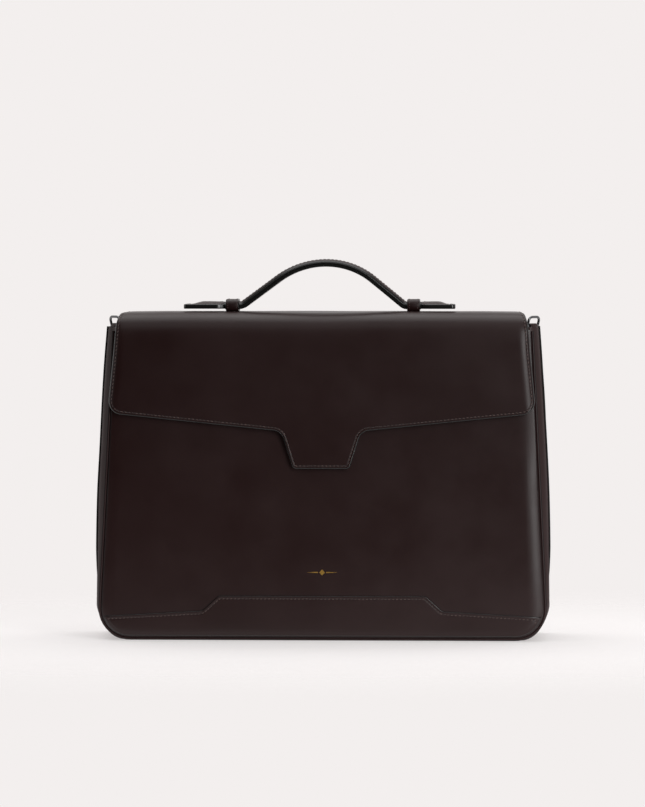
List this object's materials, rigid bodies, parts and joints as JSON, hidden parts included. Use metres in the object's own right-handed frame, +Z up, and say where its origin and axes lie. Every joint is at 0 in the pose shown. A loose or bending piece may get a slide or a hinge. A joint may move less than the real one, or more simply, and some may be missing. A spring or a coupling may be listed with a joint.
{
  "type": "leather briefcase",
  "caption": "Slim flap-over leather briefcase with a stepped tongue flap, an arched strap handle in keepers, bellows side gussets and shoulder-strap rings.",
  "frame": {"origin": "on the ground under the middle of the bag", "axes": "+X across the bag to the right of someone facing its front, +Y from front to back, +Z up"},
  "size_m": [0.3874, 0.0862, 0.3235],
  "materials": {
    "leather": "smooth semi-matt box calf, dyed very dark red-brown, edges painted dark grey",
    "edge_paint": "satin dark grey edge paint",
    "thread": "waxed polyester thread, dark red-brown",
    "foil": "gold foil pressed into leather",
    "lining_cloth": "fine woven cotton twill, very dark brown",
    "stiffening_board": "pressed fibre board",
    "handle_filler": "raw leather board",
    "gunmetal": "polished gunmetal plating",
    "zip_coil": "black nylon coil"
  },
  "bodies": {
    "shell": {"front_wall": "leather", "front_board": "stiffening_board", "front_lining": "lining_cloth", "front_facing": "leather", "front_base_patch": "leather", "front_welt": "leather", "back_wall": "leather", "back_board": "stiffening_board", "back_lining": "lining_cloth", "back_facing": "leather", "back_base_patch": "leather", "back_welt": "leather", "gusset_right": "leather", "gusset_left": "leather", "gusset_base": "leather", "base_board": "stiffening_board", "divider_pad": "lining_cloth", "divider_binding": "leather", "slip_pocket": "lining_cloth", "slip_pocket_binding": "leather", "zip_frame": "leather", "zip_tapes": "lining_cloth", "zip_coils": "zip_coil", "flap_back_leather": "leather", "flap_back_lining": "leather", "flap_back_bend": "leather", "snap_socket": "gunmetal", "snap_socket_washer": "gunmetal", "ring_tab_right": "leather", "ring_tab_left": "leather"},
    "flap_top": {"flap_top_leather": "leather", "flap_top_lining": "leather", "handle_plate": "gunmetal", "keeper_right": "leather", "keeper_left": "leather", "keeper_rivets": "gunmetal", "flap_front_bend": "leather"},
    "flap_front": {"flap_front_leather": "leather", "flap_front_lining": "leather", "snap_stud": "gunmetal", "snap_stud_washer": "gunmetal"},
    "grip": {"handle_grip": "leather", "handle_core": "handle_filler"},
    "strap_end_right": {"handle_end_right": "leather"},
    "strap_end_left": {"handle_end_left": "leather"},
    "ring_right": {"strap_ring_right": "gunmetal"},
    "ring_left": {"strap_ring_left": "gunmetal"},
    "slider": {"zip_slider": "gunmetal"},
    "pull": {"zip_pull": "gunmetal"}
  },
  "joints": [
    {"name": "flap_top_hinge", "type": "hinge", "parent": "shell", "child": "flap_top", "pos_m": [0, 0.03122, 0.27435], "axis": [-1, 0, 0], "range_deg": [0, 120], "deforming": ["flap_back_bend"]},
    {"name": "flap_front_hinge", "type": "hinge", "parent": "flap_top", "child": "flap_front", "pos_m": [0, -0.03363, 0.27435], "axis": [-1, 0, 0], "range_deg": [0, 100], "deforming": ["flap_front_bend"]},
    {"name": "grip_drop", "type": "slide", "parent": "flap_top", "child": "grip", "axis": [0, 0, -1], "range_m": [0, 0.034], "stiffness_N_per_m": 400, "deforming": ["handle_grip", "handle_core"]},
    {"name": "strap_end_right_slide", "type": "slide", "parent": "grip", "child": "strap_end_right", "axis": [0.2991, 0, 0.9542], "range_m": [0, 0.03564], "deforming": ["handle_grip", "handle_core"]},
    {"name": "strap_end_left_slide", "type": "slide", "parent": "grip", "child": "strap_end_left", "axis": [-0.2991, 0, 0.9542], "range_m": [0, 0.03564], "deforming": ["handle_grip", "handle_core"]},
    {"name": "ring_right_hinge", "type": "hinge", "parent": "shell", "child": "ring_right", "pos_m": [0.17851, 0.00513, 0.266], "axis": [0.693, 0.721, 0], "range_deg": [0, 95]},
    {"name": "ring_left_hinge", "type": "hinge", "parent": "shell", "child": "ring_left", "pos_m": [-0.17851, 0.00513, 0.266], "axis": [0.693, -0.721, 0], "range_deg": [0, 95]},
    {"name": "zip_slide", "type": "slide", "parent": "shell", "child": "slider", "axis": [-1, 0, 0], "range_m": [0, 0.152]},
    {"name": "pull_hinge", "type": "hinge", "parent": "slider", "child": "pull", "pos_m": [0.076, 0.02685, 0.2046], "axis": [0, -0.0349, 0.9994], "range_deg": [0, 175]}
  ],
  "couplings": [
    {"joint": "strap_end_right_slide", "follows": "grip_drop", "ratio": 1.048},
    {"joint": "strap_end_left_slide", "follows": "grip_drop", "ratio": 1.048}
  ]
}
